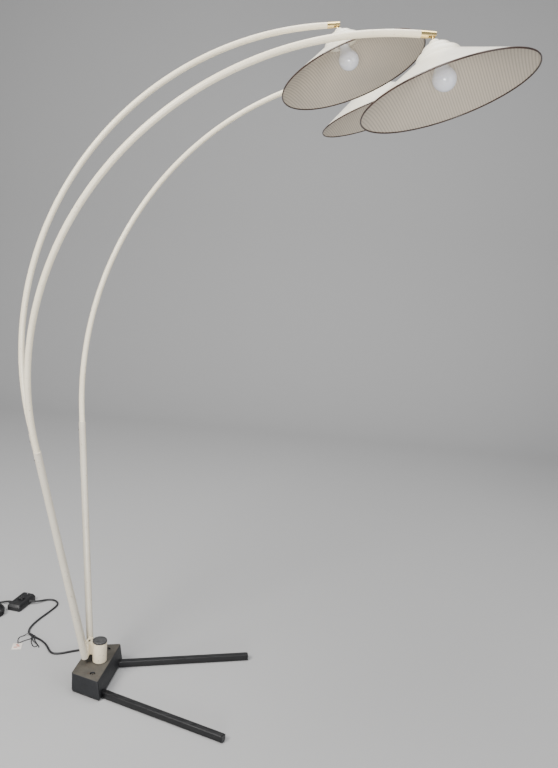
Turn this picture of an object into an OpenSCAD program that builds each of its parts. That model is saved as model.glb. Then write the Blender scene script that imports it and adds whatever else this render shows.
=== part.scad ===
// Three-armed arc floor lamp: a cast base with two splayed legs, a clamped holder
// with three lower tubes, three bent upper tubes that turn in them, and three
// tilting coolie shades. Millimetres, +Z up, +X forward between the legs.
// Origin: on the floor, under the axis of the centre post.

/* [Base] */
// Height of the block's top face above the floor
base_top = 67; // [60:1:80]
// Block length along its front edge
block_front = 228; // [200:2:240]
// Block length along its rear edge
block_rear = 168; // [150:2:190]
// Distance from the post's axis to the block's front edge
block_fore = 34; // [30:1:45]
// Distance from the post's axis to the block's rear edge
block_aft = 62; // [58:1:75]
// Height of the block's underside above the floor
pad_h = 4; // [3:0.5:6]

/* [Legs] */
// Width and height of the square leg tube
leg_w = 20; // [18:1:24]
// Half of the angle between the legs
leg_angle = 18.5; // [12:0.5:25]
// Length of each leg tube
leg_length = 484; // [400:2:520]
// Distance from the post's axis to each leg's root, sideways
leg_root = 72; // [64:1:78]

/* [Holder] */
// Outer radius of the holder's sleeve and of the knob
sleeve_r = 22.5; // [20:0.5:28]
// Height of the sleeve
sleeve_h = 66; // [55:1:80]
// Radius of the threaded centre post
post_r = 8; // [6:0.5:10]
// Thickness of the clamp knob
knob_h = 7; // [5:0.5:12]

/* [Arms] */
// Outer diameter of the lower tube
lower_d = 22; // [20:0.5:26]
// Length of the lower tube
lower_length = 740; // [600:10:800]
// Outer diameter of the upper tube
upper_d = 18; // [16:0.5:19]
// Lean of the lower tubes away from the vertical
lean = 14; // [5:0.5:18]
// Turn between neighbouring lower tubes, seen from above
fan_angle = 58; // [45:1:80]
// Length of the bent upper tube along its arc
arc_length = 1675; // [1400:5:1800]

/* [Shades] */
// Radius of the shade's rim
rim_r = 221.5; // [180:0.5:230]
// Height of the shade from rim to crown
shade_h = 136; // [125:1:160]
// Wall thickness of the spun shade
shade_t = 1; // [0.8:0.1:1.5]
// Diameter of the bulb
bulb_d = 60; // [45:1:60]

/* [Cord] */
// Diameter of the mains cord
cord_d = 7; // [6:0.5:8]
// Length of the floor dimmer
dimmer_l = 110; // [90:1:120]
// Width of the floor dimmer
dimmer_w = 54; // [45:1:60]
// Height of the floor dimmer
dimmer_h = 28; // [24:1:32]

/* [Hidden] */
$fn = 64;
NAMES = ["a", "b", "c"];

// Arms: foot position, side of the fan, radius of the bend, roll of the tip
// about the tube and tilt of the shade away from square to the tube.
// a is the middle arm, b the right-hand and lowest one, c the left-hand one.
foot_z = base_top + 19;
FOOT = [[-48, 0], [-40, -24], [-40, 24]];
FAN_SIDE = [0, 1, -1];
HEADING = [13, 13, 17];   // of each arc, away from the legs' bisector
BEND_R = [1005, 970, 1180];
TIP_ROLL = [12, 24, -3];
SHADE_TILT = [13, 17, 8];

tube_wall = 1.2;
plug_depth = 80;      // how far the upper tube sits in the lower one
neck_length = 26;     // straight part of the upper tube above the lower tube
tube_fit = 0.05;      // radial running clearance of the upper tube
tip_length = 38;
tip_r = 9;
pin_z = 29;           // tilt pin along the tip
pin_r = 2;
slot_w = 8;
apex_drop = 12;       // tilt pin to the top of the crown
holder_z = base_top + 0.2;
sleeve_top = holder_z + sleeve_h;
web_h = 44;
web_t = 16;

// Unit vectors of an arm: the lower tube's axis, the direction in which the arc
// bends, and the normal of the arc's plane.
function unit(v) = v / norm(v);
function fan_azimuth(i) = 180 + FAN_SIDE[i] * fan_angle;
function tube_axis(i) = [cos(fan_azimuth(i)) * sin(lean), sin(fan_azimuth(i)) * sin(lean), cos(lean)];
function bend_dir(i) =
    let (t = tube_axis(i), h = [cos(HEADING[i]), sin(HEADING[i]), 0]) unit(h - (h * t) * t);

module arm_frame(i) {
    t = tube_axis(i);
    b = bend_dir(i);
    s = cross(t, b);
    multmatrix([[b.x, s.x, t.x, FOOT[i].x],
                [b.y, s.y, t.y, FOOT[i].y],
                [b.z, s.z, t.z, foot_z],
                [0, 0, 0, 1]]) children();
}

// Children at the end of a bend that turns +Z towards +X.
module after_bend(radius, length) {
    a = length / radius * 180 / PI;
    translate([radius * (1 - cos(a)), 0, radius * sin(a)]) rotate([0, a, 0]) children();
}

// A pipe or rod bent in the XZ plane, starting at the origin along +Z.
module bend(radius, length, outer, inner = 0) {
    a = length / radius * 180 / PI;
    translate([radius, 0, 0]) rotate([90, 0, 0]) rotate([0, 0, 180 - a])
        rotate_extrude(angle = a, $fn = 96) translate([radius, 0]) difference() {
            circle(d = outer);
            if (inner > 0) circle(d = inner);
        }
}

module pipe(d, inner, h) {
    difference() {
        cylinder(d = d, h = h);
        translate([0, 0, -1]) cylinder(d = inner, h = h + 2);
    }
}

module tip_frame(i) {
    arm_frame(i) translate([0, 0, lower_length + neck_length])
        after_bend(BEND_R[i], arc_length) rotate([0, 0, -TIP_ROLL[i]]) children();
}

// The shade hangs along -Z of this frame, with the tilt pin at its origin along Y.
module shade_frame(i) {
    tip_frame(i) translate([0, 0, pin_z]) rotate([0, -90 - SHADE_TILT[i], 0]) children();
}

// ---------------------------------------------------------------- base

function block_outline(fore, around) = [
    [-block_aft - around, -block_rear / 2 - around],
    [block_fore + fore, -block_front / 2 - fore * tan(end_angle) - around],
    [block_fore + fore, block_front / 2 + fore * tan(end_angle) + around],
    [-block_aft - around, block_rear / 2 + around]];

chamber = [40, 84, 22];   // wiring chamber under the block
chamber_x = -36;
plate_t = 2;
draft = 8;                // the front face runs out at the bottom
leg_z = 2 + leg_w / 2;
leg_screw_at = [3, 73];
end_angle = atan2((block_front - block_rear) / 2, block_fore + block_aft);
exit_x = -38;             // the cord leaves the block's left end here
exit_z = 13;
grommet_l = 24;

module exit_place() {
    translate([exit_x, block_rear / 2 + (exit_x + block_aft) * tan(end_angle), exit_z])
        rotate([0, 0, 90 + end_angle]) rotate([0, 90, 0]) children();
}

module leg_place(side) {
    translate([0, side * leg_root, leg_z]) rotate([0, 0, side * leg_angle]) children();
}

module base_block() {
    color("#4a4844") difference() {
        hull() {
            translate([0, 0, pad_h]) linear_extrude(1) polygon(block_outline(draft, 0));
            translate([0, 0, base_top - 4]) linear_extrude(1) polygon(block_outline(0, 0));
            translate([0, 0, base_top - 1]) linear_extrude(1) polygon(block_outline(-2, -2));
        }
        for (side = [-1, 1]) {
            leg_place(side) leg_pocket();
            translate([leg_screw_at.x, side * leg_screw_at.y, 0]) {
                cylinder(r = 3.1, h = base_top + 1);
                translate([0, 0, base_top - 8]) cylinder(r = 8, h = 9);
            }
        }
        cylinder(r = post_r, h = base_top + 1);
        cylinder(r = 16, h = 16);
        translate([chamber_x - chamber.x / 2, -chamber.y / 2, 0]) cube(chamber + [0, 0, pad_h]);
        translate([-44, 0, 0]) cylinder(r = 9, h = base_top + 1);
        exit_place() translate([0, 0, -60]) cylinder(r = 5, h = 64);
    }
}

module leg_pocket() {
    translate([-13, -leg_w / 2 - 0.2, -leg_w / 2 - 3]) cube([120, leg_w + 0.4, leg_w + 3.2]);
}

module bottom_plate() {
    color("#2b2b2d") translate([0, 0, pad_h - plate_t]) linear_extrude(plate_t) difference() {
        polygon(block_outline(draft - 4, -3));
        circle(r = 3);
        for (side = [-1, 1]) translate([0, side * leg_root]) rotate(side * leg_angle)
            translate([-13, -leg_w / 2 - 0.2]) square([80, leg_w + 0.4]);
    }
}

module base_pads() {
    color("#1c1c1c") for (x = [-48, 24]) for (side = [-1, 1])
        translate([x, side * 52, 0]) cylinder(r = 9, h = pad_h - plate_t);
    color("#1c1c1c") cylinder(r = 14, h = pad_h - plate_t);
}

module centre_post() {
    color("#8b8b8d") difference() {
        union() {
            translate([0, 0, pad_h]) cylinder(r = post_r, h = sleeve_top + 4 - pad_h);
            translate([0, 0, pad_h]) cylinder(r = 15, h = 12, $fn = 6);
        }
        translate([0, 0, pad_h - 1]) cylinder(r = 2.5, h = 12);
    }
}

module leg(side) {
    color("#1d1d1f") difference() {
        leg_place(side) difference() {
            translate([-12, -leg_w / 2, -leg_w / 2]) cube([leg_length, leg_w, leg_w]);
            translate([-13, -leg_w / 2 + 1.5, -leg_w / 2 + 1.5])
                cube([leg_length + 2, leg_w - 3, leg_w - 3]);
        }
        translate([leg_screw_at.x, side * leg_screw_at.y, 0]) cylinder(r = 3.1, h = base_top);
    }
}
module leg_left() leg(1);
module leg_right() leg(-1);

module leg_caps() {
    color("#141414") for (side = [-1, 1]) leg_place(side) translate([leg_length - 12, 0, 0]) {
        translate([0, -leg_w / 2, -leg_w / 2]) cube([3, leg_w, leg_w]);
        translate([-15, -leg_w / 2 + 1.5, -leg_w / 2 + 1.5]) cube([15, leg_w - 3, leg_w - 3]);
    }
    color("#141414") for (side = [-1, 1]) leg_place(side)
        translate([leg_length - 32, 0, -leg_z]) cylinder(r = 7, h = leg_z - leg_w / 2);
}

module leg_screws() {
    color("#5c5a57") for (side = [-1, 1]) translate([leg_screw_at.x, side * leg_screw_at.y, 0]) {
        translate([0, 0, pad_h]) cylinder(r = 3, h = base_top - 8 - pad_h);
        difference() {
            translate([0, 0, base_top - 8]) cylinder(r = 5.5, h = 5);
            translate([0, 0, base_top - 6]) cylinder(r = 2.6, h = 4, $fn = 6);
        }
    }
}

module terminal_block() {
    color("#e6e2d8") difference() {
        translate([-50, -22, 7]) cube([18, 36, 14]);
        for (y = [-16, -4, 8]) translate([-51, y, 14]) rotate([0, 90, 0]) cylinder(r = 2.2, h = 20);
    }
}

module cord_grommet() {
    color("#161616") exit_place() {
        cylinder(r1 = 7, r2 = 4.6, h = grommet_l);
        translate([0, 0, -12]) cylinder(r = 4.9, h = 13);
    }
}

// ---------------------------------------------------------------- holder and knob

module arm_holder() {
    color("#ddd3bd") difference() {
        union() {
            translate([0, 0, holder_z]) cylinder(r = sleeve_r, h = sleeve_h);
            translate([-40, -web_t / 2, sleeve_top - web_h]) cube([40, web_t, web_h]);
            translate([-46, -26, sleeve_top - web_h]) cube([17, 52, web_h]);
        }
        translate([0, 0, holder_z - 1]) cylinder(r = post_r + 0.05, h = sleeve_h + 2);
        for (i = [0:2]) arm_frame(i) translate([0, 0, -20]) cylinder(d = lower_d, h = 120);
    }
}

module holder_washer() {
    color("#9a9a9c") translate([0, 0, sleeve_top]) pipe(2 * sleeve_r - 7, 2 * post_r + 0.6, 1);
}

module clamp_knob() {
    color("#4b4b50") translate([0, 0, sleeve_top + 1.2]) difference() {
        union() {
            cylinder(r = sleeve_r + 0.3, h = knob_h - 2);
            translate([0, 0, knob_h - 2]) cylinder(r1 = sleeve_r + 0.3, r2 = sleeve_r - 1.7, h = 2);
        }
        translate([0, 0, -1]) cylinder(r = post_r + 0.05, h = 4);
    }
}

// ---------------------------------------------------------------- arms

module lower_tube(i) {
    color("#d8d0bc") arm_frame(i) difference() {
        union() {
            pipe(lower_d, upper_d + 2 * tube_fit, lower_length);
            translate([0, 0, lower_length - plug_depth - 7]) pipe(upper_d + 1, upper_d - 4, 6.7);
        }
        translate([0, 0, lower_length - 25]) rotate([0, -90, 0]) cylinder(r = 2.5, h = 20);
    }
}

module arm_screw(i) {
    color("#b9b4a6") arm_frame(i) translate([-upper_d / 2 - 0.3, 0, lower_length - 25])
        rotate([0, -90, 0]) difference() {
            cylinder(r = 2.5, h = 3.4);
            translate([0, 0, 1.6]) cylinder(r = 1.3, h = 3, $fn = 6);
        }
}

module swivel_spigot(i) {
    bore = upper_d - 2 * tube_wall - 4;
    color("#f3ead6") arm_frame(i) translate([0, 0, lower_length]) {
        translate([0, 0, -plug_depth]) pipe(upper_d, bore, plug_depth + neck_length);
        translate([0, 0, neck_length - 1]) pipe(upper_d - 2 * tube_wall - 0.8, bore, 19);
    }
}

module upper_tube(i) {
    color("#f3ead6") arm_frame(i) translate([0, 0, lower_length + neck_length])
        bend(BEND_R[i], arc_length, upper_d, upper_d - 2 * tube_wall);
}

module brass_tip(i) {
    color("#c9a85c") tip_frame(i) difference() {
        union() {
            cylinder(r = tip_r, h = tip_length);
            translate([0, 0, -12]) cylinder(d = upper_d - 2 * tube_wall - 0.2, h = 13);
        }
        translate([-6, -slot_w / 2, pin_z - 8]) cube([tip_r + 8, slot_w, 30]);
        translate([5, -tip_r - 1, pin_z - 10]) cube([tip_r, 2 * tip_r + 2, 30]);
        translate([0, 0, -13]) cylinder(d = 6, h = 36);
        translate([0, -tip_r - 1, pin_z]) rotate([-90, 0, 0]) cylinder(r = pin_r, h = 2 * tip_r + 2);
    }
}

module tilt_pin(i) {
    color("#8d7743") tip_frame(i) translate([0, 0, pin_z]) rotate([90, 0, 0])
        cylinder(r = pin_r, h = 2 * tip_r - 1.5, center = true);
}

// ---------------------------------------------------------------- shades

holder_r = 19;
holder_top = 17;          // below the tilt pin
holder_h = 50;
bulb_z = apex_drop + 99; // bulb centre below the tilt pin

// Outline of the crown's button and two steps: radius and drop below the apex.
CROWN = [[5, 0], [9, 1.5], [12, 4.5], [14, 10], [24, 12.5], [33, 18], [37, 24], [38, 27],
         [47, 31], [54, 37.5], [57, 45], [58, 48.5]];
crown_drop = CROWN[len(CROWN) - 1].y;
skirt_top_r = CROWN[len(CROWN) - 1].x;
rim_z = -apex_drop - shade_h;

module shade_stem(i) {
    color("#b8964d") shade_frame(i) difference() {
        union() {
            rotate([90, 0, 0]) cylinder(r = 5.5, h = slot_w - 0.6, center = true);
            translate([0, 0, -holder_top]) cylinder(r = 3.6, h = holder_top - 3);
        }
        rotate([90, 0, 0]) cylinder(r = pin_r + 0.05, h = 20, center = true);
    }
}

module shade_crown(i) {
    outer = [for (p = CROWN) [p.x, -apex_drop - p.y]];
    inner = [for (k = [len(CROWN) - 1:-1:0]) [max(CROWN[k].x - shade_t, 3.6), outer[k].y - shade_t]];
    color("#fbf6ea") shade_frame(i) rotate_extrude($fn = 96)
        polygon(concat([[3.6, outer[0].y]], outer, inner));
}

module shade_skirt(i) {
    top = -apex_drop - crown_drop - shade_t;
    color("#fbf6ea") shade_frame(i) rotate_extrude($fn = 128)
        polygon([[skirt_top_r, top], [rim_r, rim_z], [rim_r - 2 * shade_t, rim_z],
                 [skirt_top_r - 2 * shade_t, top]]);
}

module rim_trim(i) {
    color("#3a2318") shade_frame(i) translate([0, 0, rim_z - 4]) pipe(2 * rim_r + 2, 2 * rim_r - 6, 4);
}

module lampholder(i) {
    color("#efe9da") shade_frame(i) translate([0, 0, -holder_top - holder_h]) difference() {
        union() {
            cylinder(r = holder_r, h = 32);
            translate([0, 0, 32]) cylinder(r1 = holder_r, r2 = 9, h = 10);
            translate([0, 0, 42]) cylinder(r = 8, h = holder_h - 42);
        }
        translate([0, 0, -1]) cylinder(r = 14, h = 30);
    }
}

module bulb_cap(i) {
    color("#b9bbbd") shade_frame(i) translate([0, 0, -holder_top - holder_h + 2]) difference() {
        cylinder(r = 13, h = 27);
        translate([0, 0, -1]) cylinder(r = 12, h = 26);
    }
}

module bulb_glass(i) {
    neck_top = -holder_top - holder_h + 2;
    globe = [for (a = [35:-12.5:-77.5]) [cos(a), sin(a)]];
    outer = concat([[13, neck_top], [15, neck_top - 9], [20, neck_top - 14]],
        [for (g = globe) [bulb_d / 2 * g.x, -bulb_z + bulb_d / 2 * g.y]], [[0, -bulb_z - bulb_d / 2]]);
    inner = concat([[0, -bulb_z - bulb_d / 2 + 1]],
        [for (k = [len(globe) - 1:-1:0]) (bulb_d / 2 - 1) * globe[k] - [0, bulb_z]],
        [[19, neck_top - 14.5], [14, neck_top - 9], [12, neck_top]]);
    color("#f4f4f2") shade_frame(i) rotate_extrude($fn = 64) polygon(concat(outer, inner));
}

// ---------------------------------------------------------------- cord

// Free routes along the floor, points chosen by hand.
floor_z = cord_d / 2 + 0.5;
LAMP_ROUTE = [[-45.22, 114.45, 13], [-46.1, 117.26, 13], [-49.5, 128.3, 11], [-58, 143, 7], [-73, 154, floor_z],
    [-93, 157, floor_z], [-113, 151, floor_z], [-132, 140, floor_z], [-152, 127, floor_z],
    [-172, 113, floor_z], [-192, 105, floor_z], [-210, 110, floor_z], [-224, 127, floor_z],
    [-241, 151, floor_z], [-266, 174, floor_z], [-297, 190, floor_z], [-322, 200, floor_z],
    [-338, 219, floor_z], [-345, 252, floor_z], [-340, 306, floor_z], [-324, 368, floor_z],
    [-314, 419, floor_z], [-318, 440, floor_z], [-331, 456, floor_z], [-350, 462.5, floor_z], [-363, 459, 4.2],
    [-374, 451.5, 5.2], [-381.5, 442, 6.8], [-388, 432.5, 8.8], [-394.5, 425.8, 10.4], [-401, 422.1, 11], [-406.6, 420.5, 11], [-409.45, 419.71, 11]];
PLUG_ROUTE = [[-486.75, 396.31, 11], [-489.7, 396.72, 11], [-497.6, 397.8, 11], [-510, 398.2, 8.6],
    [-524, 395, 6], [-538, 388, 4.4], [-550, 377, floor_z], [-558.5, 362, floor_z], [-563, 350, floor_z]];
coil_at = [-523, 315];
plug_at = [-575, 358.7];
coil_r = 40;              // middle of the coil's turns
coil_w = 15;
coil_h = 22;
dimmer_at = [-448, 406];
dimmer_turn = 82;

module coil_place() translate([coil_at.x, coil_at.y, 0]) children();

// Catmull-Rom point between the middle two of four points.
function smooth(p, q, r, s, u) = 0.5 * (2 * q + (r - p) * u
    + (2 * p - 5 * q + 4 * r - s) * u * u + (3 * q - p - 3 * r + s) * u * u * u);
function route(points, n) = [for (k = [0:len(points) - 2]) for (j = [0:n - 1])
        smooth(points[max(k - 1, 0)], points[k], points[k + 1], points[min(k + 2, len(points) - 1)], j / n),
    points[len(points) - 1]];

module cord_tube(points, sides) {
    ring = len(points);
    dir = [for (k = [0:ring - 1]) unit(points[min(k + 1, ring - 1)] - points[max(k - 1, 0)])];
    verts = [for (k = [0:ring - 1])
        let (side = unit(cross(dir[k], [0, 0, 1])), up = cross(side, dir[k]))
        for (j = [0:sides - 1])
            points[k] + cord_d / 2 * (cos(360 * j / sides) * side + sin(360 * j / sides) * up)];
    faces = concat(
        [for (k = [0:ring - 2]) for (j = [0:sides - 1])
            [k * sides + j, k * sides + (j + 1) % sides, (k + 1) * sides + (j + 1) % sides, (k + 1) * sides + j]],
        [[for (j = [sides - 1:-1:0]) j]],
        [[for (j = [0:sides - 1]) (ring - 1) * sides + j]]);
    polyhedron(verts, faces);
}

module mains_cord() {
    color("#232326") cord_tube(route(LAMP_ROUTE, 2), 8);
}

module plug_cord() {
    color("#232326") cord_tube(route(PLUG_ROUTE, 2), 8);
}

module cord_coil() {
    color("#232326") coil_place() translate([0, 0, 0.5]) rotate_extrude($fn = 48)
        translate([coil_r - coil_w / 2, 0]) square([coil_w, coil_h]);
}

module cord_tie() {
    color("#f2ede6") translate([-336, 126, 0.4]) rotate([0, 0, 15]) translate([-16, -20, 0]) cube([32, 40, 1.2]);
    color("#1a1a1a") translate([-309, 194.6, 8.3]) rotate([0, 0, -20]) cube([4, 16, 1.6], center = true);
}

module dimmer_place() {
    translate([dimmer_at.x, dimmer_at.y, 0.5]) rotate([0, 0, dimmer_turn]) children();
}

slot_l = 46;
module dimmer_case() {
    color("#26262a") dimmer_place() difference() {
        union() {
            hull() {
                translate([-dimmer_l / 2, -dimmer_w / 2, 0]) cube([dimmer_l, dimmer_w, 14]);
                translate([-dimmer_l / 2 + 6, -dimmer_w / 2 + 5, 0])
                    cube([dimmer_l - 12, dimmer_w - 10, dimmer_h - 3]);
            }
            translate([15, -dimmer_w / 2, 10.5]) rotate([0, 0, -67]) rotate([0, 90, 0])
                translate([0, 0, -8]) cylinder(r = 5, h = 18);
            translate([-15, dimmer_w / 2, 10.5]) rotate([0, 0, 90]) rotate([0, 90, 0])
                translate([0, 0, -8]) cylinder(r = 5, h = 18);
        }
        translate([-slot_l / 2, -5, dimmer_h - 13]) cube([slot_l, 10, 20]);
    }
}

module dimmer_slider() {
    color("#3a3a40") dimmer_place() translate([0, 0, dimmer_h - 12]) {
        translate([-7, -4.7, 0]) cube([14, 9.4, 9.3]);
        translate([-8, -8, 9.3]) cube([16, 16, 4]);
    }
}

module mains_plug() {
    color("#1e1e20") translate([plug_at.x, plug_at.y, -0.2]) rotate([0, 0, 180]) {
        translate([0, 0, 19]) rotate([0, 90, 0]) cylinder(r1 = 8, r2 = 18.5, h = 26);
        translate([26, 0, 19]) rotate([0, 90, 0]) cylinder(r = 18.5, h = 16);
        for (side = [-1, 1]) translate([42, side * 9.5, 19]) rotate([0, 90, 0]) cylinder(r = 2.4, h = 19);
        translate([-35, 0, 19]) rotate([0, 90, 0]) cylinder(d = cord_d, h = 35);
    }
}

// ---------------------------------------------------------------- nodes

base_block();
bottom_plate();
base_pads();
centre_post();
leg_left();
leg_right();
leg_caps();
leg_screws();
terminal_block();
cord_grommet();
arm_holder();
holder_washer();
clamp_knob();
mains_cord();
cord_tie();
dimmer_case();
dimmer_slider();
plug_cord();
cord_coil();
mains_plug();
for (i = [0:2]) {
    lower_tube(i);
    arm_screw(i);
    upper_tube(i);
    swivel_spigot(i);
    brass_tip(i);
    tilt_pin(i);
    shade_stem(i);
    shade_crown(i);
    shade_skirt(i);
    rim_trim(i);
    lampholder(i);
    bulb_cap(i);
    bulb_glass(i);
}
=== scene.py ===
import math
import bpy
import bmesh
from mathutils import Matrix, Vector


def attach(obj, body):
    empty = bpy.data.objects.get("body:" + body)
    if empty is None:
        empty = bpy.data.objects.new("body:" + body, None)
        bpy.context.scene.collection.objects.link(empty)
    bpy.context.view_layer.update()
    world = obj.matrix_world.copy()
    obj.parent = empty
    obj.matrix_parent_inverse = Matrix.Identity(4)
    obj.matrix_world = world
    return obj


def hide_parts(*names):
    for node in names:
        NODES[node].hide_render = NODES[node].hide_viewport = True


MM = 0.001
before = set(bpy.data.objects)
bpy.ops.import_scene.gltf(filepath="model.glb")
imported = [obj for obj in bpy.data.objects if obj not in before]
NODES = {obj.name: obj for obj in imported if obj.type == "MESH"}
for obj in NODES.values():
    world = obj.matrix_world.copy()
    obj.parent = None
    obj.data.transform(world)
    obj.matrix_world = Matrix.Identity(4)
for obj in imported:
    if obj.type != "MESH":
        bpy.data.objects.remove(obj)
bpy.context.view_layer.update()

# ------------------------------------------------------------------ camera

CAMERA_AT = (0.7419, -2.1850, 1.4712)
LENS, SENSOR = 36.2, 36.0
cam_data = bpy.data.cameras.new("camera")
cam_data.lens = LENS
cam_data.sensor_width = SENSOR
cam_data.clip_end = 100
camera = bpy.data.objects.new("camera", cam_data)
bpy.context.scene.collection.objects.link(camera)
ahead = Vector((-0.09934, 0.97477, -0.19990)).normalized()
right = Vector((0.99128, 0.11442, 0.06530)).normalized()
up = right.cross(ahead).normalized()
camera.matrix_world = Matrix((
    (right.x, up.x, -ahead.x, CAMERA_AT[0]),
    (right.y, up.y, -ahead.y, CAMERA_AT[1]),
    (right.z, up.z, -ahead.z, CAMERA_AT[2]),
    (0, 0, 0, 1)))
bpy.context.scene.camera = camera

# ------------------------------------------------------------------ the lamp's own sizes, mm

BASE_TOP, PAD_H, FOOT_LIFT = 67.0, 4.0, 19
BLOCK_FRONT, BLOCK_REAR, FORE, AFT, DRAFT = 228.0, 168.0, 34.0, 62.0, 8.0
LEG_W, LEG_ANGLE, LEG_LENGTH, LEG_ROOT = 20.0, 18.5, 484.0, 72.0
SLEEVE_R, SLEEVE_H, KNOB_H = 22.5, 66.0, 7.0
LOWER_D, LOWER_LENGTH, UPPER_D = 22.0, 740.0, 18.0
LEAN, FAN, NECK, ARC = 14.0, 58.0, 26.0, 1675.0
ARMS = {
    "a": {"foot": (-48, 0), "side": 0, "heading": 13, "bend": 1005.0, "roll": 12, "tilt": 13},
    "b": {"foot": (-40, -24), "side": 1, "heading": 13, "bend": 970.0, "roll": 24, "tilt": 17},
    "c": {"foot": (-40, 24), "side": -1, "heading": 17, "bend": 1180.0, "roll": -3, "tilt": 8},
}
PIN_Z = 29.0
APEX, SHADE_H, RIM_R = 12.0, 136.0, 221.5
CROWN_R, CROWN_DROP = 58.0, 48.5
BULB_R, BULB_DROP, BULB_NECK = 30.0, 99.0, -65
CORD_D = 7.0
FLOOR_Z = CORD_D / 2 + 0.5
RIB_PITCH, RIB_DEPTH, RIB_TURN = 7.0, 0.35, math.radians(-27)
HOLDER_Z = BASE_TOP + 0.2
SLEEVE_TOP = HOLDER_Z + SLEEVE_H


def rot(axis, degrees):
    return Matrix.Rotation(math.radians(degrees), 4, axis)


def move(x, y, z):
    return Matrix.Translation((x, y, z))


def arm_frame(k):
    a = ARMS[k]
    az = math.radians(180 + a["side"] * FAN)
    lean = math.radians(LEAN)
    t = Vector((math.cos(az) * math.sin(lean), math.sin(az) * math.sin(lean), math.cos(lean)))
    h = Vector((math.cos(math.radians(a["heading"])), math.sin(math.radians(a["heading"])), 0))
    b = (h - h.dot(t) * t).normalized()
    s = t.cross(b)
    return Matrix(((b.x, s.x, t.x, a["foot"][0]), (b.y, s.y, t.y, a["foot"][1]),
                   (b.z, s.z, t.z, BASE_TOP + FOOT_LIFT), (0, 0, 0, 1)))


def after_bend(radius, length):
    a = length / radius
    return move(radius * (1 - math.cos(a)), 0, radius * math.sin(a)) @ rot("Y", math.degrees(a))


def tip_frame(k):
    return arm_frame(k) @ move(0, 0, LOWER_LENGTH + NECK) @ after_bend(ARMS[k]["bend"], ARC) \
        @ rot("Z", -ARMS[k]["roll"])


def shade_frame(k):
    return tip_frame(k) @ move(0, 0, PIN_Z) @ rot("Y", -90 - ARMS[k]["tilt"])


# ------------------------------------------------------------------ mesh makers, in mm until the end

def smooth_by_angle(mesh, degrees):
    mesh.shade_smooth()
    mesh.set_sharp_from_angle(angle=math.radians(degrees))


def finish_mesh(name, bm, matrix=None, smooth=None, body=None, replaces=(), mats=()):
    if matrix is not None:
        bm.transform(matrix)
    bm.transform(Matrix.Scale(MM, 4))
    bmesh.ops.recalc_face_normals(bm, faces=bm.faces)
    mesh = bpy.data.meshes.new(name)
    bm.to_mesh(mesh)
    bm.free()
    obj = bpy.data.objects.new(name, mesh)
    bpy.context.scene.collection.objects.link(obj)
    for m in mats:
        mesh.materials.append(m)
    if smooth is not None:
        smooth_by_angle(mesh, smooth)
    if body:
        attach(obj, body)
    if replaces:
        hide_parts(*replaces)
    return obj


def round_profile(points, radii, steps=4):
    """Rounds the corners of an open (r, z) line; radii gives a corner's radius or 0."""
    out = [Vector(points[0])]
    for i in range(1, len(points) - 1):
        p, q, s = Vector(points[i - 1]), Vector(points[i]), Vector(points[i + 1])
        r = radii[i]
        if r <= 0:
            out.append(q)
            continue
        a, b = (p - q).normalized(), (s - q).normalized()
        cut = min(r, (p - q).length * 0.45, (s - q).length * 0.45)
        for j in range(steps + 1):
            u = j / steps
            out.append((q + a * cut) * (1 - u) ** 2 + 2 * u * (1 - u) * q + (q + b * cut) * u ** 2)
    out.append(Vector(points[-1]))
    return [(v.x, v.y) for v in out]


def lathe(bm, profile, seg=64, closed=False, mat=0):
    rings = []
    for r, z in profile:
        if r < 1e-6:
            rings.append([bm.verts.new((0, 0, z))])
        else:
            rings.append([bm.verts.new((r * math.cos(2 * math.pi * j / seg),
                                        r * math.sin(2 * math.pi * j / seg), z))
                          for j in range(seg)])
    pairs = list(zip(rings, rings[1:]))
    if closed:
        pairs.append((rings[-1], rings[0]))
    faces = []
    for lo, hi in pairs:
        for j in range(seg):
            k = (j + 1) % seg
            if len(lo) == 1 and len(hi) == 1:
                continue
            if len(lo) == 1:
                f = bm.faces.new((lo[0], hi[k], hi[j]))
            elif len(hi) == 1:
                f = bm.faces.new((lo[j], lo[k], hi[0]))
            else:
                f = bm.faces.new((lo[j], lo[k], hi[k], hi[j]))
            f.material_index = mat
            faces.append(f)
    return faces


def sweep(bm, points, radii, sides=20, cap=True, mat=0):
    """A tube along points, with a radius at each."""
    pts = [Vector(p) for p in points]
    n = len(pts)
    tangents = [(pts[min(i + 1, n - 1)] - pts[max(i - 1, 0)]).normalized() for i in range(n)]
    ref = Vector((0, 0, 1)) if abs(tangents[0].z) < 0.9 else Vector((1, 0, 0))
    side = tangents[0].cross(ref).normalized()
    rings = []
    for i in range(n):
        side = (side - side.dot(tangents[i]) * tangents[i]).normalized()
        other = tangents[i].cross(side)
        rings.append([bm.verts.new(pts[i] + radii[i] * (math.cos(2 * math.pi * j / sides) * side
                                                        + math.sin(2 * math.pi * j / sides) * other))
                      for j in range(sides)])
    for lo, hi in zip(rings, rings[1:]):
        for j in range(sides):
            k = (j + 1) % sides
            bm.faces.new((lo[j], lo[k], hi[k], hi[j])).material_index = mat
    if cap:
        bm.faces.new(rings[0][::-1]).material_index = mat
        bm.faces.new(rings[-1]).material_index = mat


def add_box(bm, lo, hi, bevel=0.0, segments=2, matrix=None, mat=0):
    made = bmesh.ops.create_cube(bm, size=1.0)["verts"]
    for v in made:
        v.co = Vector([lo[i] + (v.co[i] + 0.5) * (hi[i] - lo[i]) for i in range(3)])
    faces = {f for v in made for f in v.link_faces}
    for f in faces:
        f.material_index = mat
    if bevel:
        edges = list({e for v in made for e in v.link_edges})
        got = bmesh.ops.bevel(bm, geom=edges, offset=bevel, segments=segments, affect="EDGES", profile=0.5)
        faces |= set(got["faces"])
        for f in got["faces"]:
            f.material_index = mat
    if matrix is not None:
        verts = {v for f in faces if f.is_valid for v in f.verts}
        bmesh.ops.transform(bm, matrix=matrix, verts=list(verts))


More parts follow.
